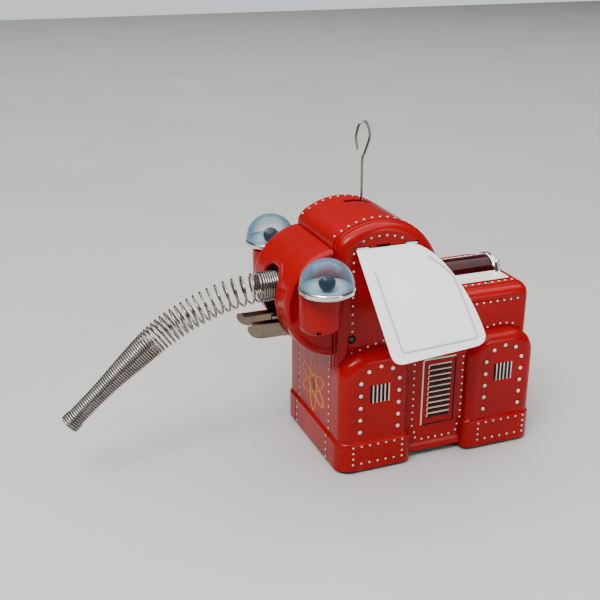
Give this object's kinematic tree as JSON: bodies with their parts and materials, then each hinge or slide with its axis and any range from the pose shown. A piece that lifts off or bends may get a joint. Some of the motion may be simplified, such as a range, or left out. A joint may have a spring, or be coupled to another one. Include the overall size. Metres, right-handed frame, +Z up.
{
  "type": "tin wind-up elephant robot",
  "caption": "Clockwork tinplate elephant robot on hidden wheels, with flapping ears, biting tusks, sprung coil trunk, wire antenna, blue dome eyes and a red spark window.",
  "frame": {"origin": "bottom centre of the whole toy's bounding box, where the wheels meet the floor", "axes": "+Z up; the toy faces -X, with its trunk pointing that way; its left side is -Y"},
  "size_m": [0.2592, 0.132, 0.1815],
  "materials": {
    "red_tin": "gloss lithographed red lacquer on tinplate",
    "white_enamel": "gloss white enamel on tinplate",
    "chrome": "polished plating",
    "spring_steel": "bright drawn wire and strip",
    "plated_steel": "zinc plated",
    "brass": "stamped brass",
    "blue_dome": "clear blue moulded plastic",
    "red_window": "clear dark red plastic",
    "black_plastic": "gloss black ball",
    "rubber": "black rubber tyre",
    "flint": "grey abrasive and flint"
  },
  "bodies": {
    "body": {"left_shell": "red_tin", "right_shell": "red_tin", "centre_band": "red_tin", "base_plate": "plated_steel", "head_shell": "red_tin", "left_eye_pod": "red_tin", "right_eye_pod": "red_tin", "left_eye_ring": "chrome", "right_eye_ring": "chrome", "left_eye_dome": "blue_dome", "right_eye_dome": "blue_dome", "window_cover": "red_window", "window_bezel": "chrome", "tail_knob": "chrome", "trunk_post": "plated_steel", "antenna_pivot": "plated_steel", "jaw_shaft": "plated_steel", "left_motor_plate": "plated_steel", "right_motor_plate": "plated_steel", "pillar_1": "brass", "pillar_2": "brass", "pillar_3": "brass", "pillar_4": "brass", "mainspring": "spring_steel", "flint": "flint", "flint_spring": "spring_steel", "rocker_shaft": "plated_steel", "front_bracket": "plated_steel"},
    "left_ear": {"left_ear": "white_enamel"},
    "right_ear": {"right_ear": "white_enamel"},
    "left_pupil": {"left_pupil": "black_plastic"},
    "right_pupil": {"right_pupil": "black_plastic"},
    "trunk_collar": {"trunk_collar": "plated_steel"},
    "trunk": {"trunk_spring": "spring_steel"},
    "antenna": {"antenna_lever": "spring_steel"},
    "jaw": {"jaw_lever": "plated_steel", "left_tusk": "chrome", "right_tusk": "chrome"},
    "rocker": {"rocker": "plated_steel", "link_rod": "spring_steel"},
    "winding": {"winding_arbor": "spring_steel", "winding_key": "plated_steel"},
    "great_wheel": {"great_wheel": "brass"},
    "second_arbor": {"second_pinion": "spring_steel", "second_wheel": "brass", "crank_disc": "plated_steel"},
    "third_arbor": {"third_pinion": "spring_steel", "third_wheel": "brass"},
    "spark_arbor": {"spark_pinion": "spring_steel", "spark_wheel": "flint"},
    "drive_axle": {"rear_axle": "spring_steel", "rear_left_wheel": "rubber", "rear_right_wheel": "rubber", "axle_pinion": "brass"},
    "front_axle": {"front_axle": "spring_steel", "front_left_wheel": "rubber", "front_right_wheel": "rubber"}
  },
  "joints": [
    {"name": "rocker_rock", "type": "hinge", "parent": "body", "child": "rocker", "pos_m": [0.05452, 0, 0.106], "axis": [0, -1, 0], "range_deg": [0, 5]},
    {"name": "left_ear_flap", "type": "hinge", "parent": "body", "child": "left_ear", "pos_m": [0.03552, -0.031, 0.125], "axis": [-1, 0, 0], "range_deg": [0, 25]},
    {"name": "right_ear_flap", "type": "hinge", "parent": "body", "child": "right_ear", "pos_m": [0.03552, 0.031, 0.125], "axis": [1, 0, 0], "range_deg": [0, 25]},
    {"name": "jaw_bite", "type": "hinge", "parent": "body", "child": "jaw", "pos_m": [0.01892, 0, 0.0755], "axis": [0, 1, 0], "range_deg": [0, 6]},
    {"name": "antenna_lean", "type": "hinge", "parent": "body", "child": "antenna", "pos_m": [0.04152, 0.011, 0.1], "axis": [0, 1, 0], "range_deg": [-13, 7]},
    {"name": "trunk_sway", "type": "hinge", "parent": "body", "child": "trunk_collar", "pos_m": [-0.01148, 0, 0.1], "axis": [0, 0, 1], "range_deg": [-12, 12], "stiffness_Nm_per_rad": 0.12},
    {"name": "trunk_nod", "type": "hinge", "parent": "trunk_collar", "child": "trunk", "pos_m": [-0.01148, 0, 0.1], "axis": [0, 1, 0], "range_deg": [-12, 12], "stiffness_Nm_per_rad": 0.12, "springref_deg": 6.88},
    {"name": "left_pupil_roll", "type": "hinge", "parent": "body", "child": "left_pupil", "pos_m": [-0.00018, -0.0411, 0.1433], "axis": [0, 1, 0], "range_deg": [-8, 8]},
    {"name": "right_pupil_roll", "type": "hinge", "parent": "body", "child": "right_pupil", "pos_m": [-0.00018, 0.0411, 0.1433], "axis": [0, 1, 0], "range_deg": [-8, 8]},
    {"name": "key_wind", "type": "hinge", "parent": "body", "child": "winding", "pos_m": [0.07252, 0, 0.046], "axis": [0, 1, 0], "continuous": true},
    {"name": "drive_axle_spin", "type": "hinge", "parent": "body", "child": "drive_axle", "pos_m": [0.09852, 0, 0.012], "axis": [0, 1, 0], "continuous": true},
    {"name": "second_arbor_spin", "type": "hinge", "parent": "body", "child": "second_arbor", "pos_m": [0.09013, 0, 0.0306], "axis": [0, 1, 0], "continuous": true},
    {"name": "great_wheel_spin", "type": "hinge", "parent": "body", "child": "great_wheel", "pos_m": [0.07252, 0, 0.046], "axis": [0, 1, 0], "continuous": true},
    {"name": "third_arbor_spin", "type": "hinge", "parent": "body", "child": "third_arbor", "pos_m": [0.09306, 0, 0.0572], "axis": [0, 1, 0], "continuous": true},
    {"name": "spark_arbor_spin", "type": "hinge", "parent": "body", "child": "spark_arbor", "pos_m": [0.09352, 0, 0.077], "axis": [0, 1, 0], "continuous": true},
    {"name": "front_axle_spin", "type": "hinge", "parent": "body", "child": "front_axle", "pos_m": [0.03052, 0, 0.012], "axis": [0, 1, 0], "continuous": true}
  ],
  "couplings": [
    {"joint": "left_ear_flap", "follows": "rocker_rock", "ratio": 5},
    {"joint": "right_ear_flap", "follows": "rocker_rock", "ratio": 5},
    {"joint": "jaw_bite", "follows": "rocker_rock", "ratio": 1.2},
    {"joint": "second_arbor_spin", "follows": "drive_axle_spin", "ratio": -0.41667},
    {"joint": "great_wheel_spin", "follows": "drive_axle_spin", "ratio": 0.125},
    {"joint": "third_arbor_spin", "follows": "drive_axle_spin", "ratio": -0.41667},
    {"joint": "spark_arbor_spin", "follows": "drive_axle_spin", "ratio": 1.1111}
  ]
}
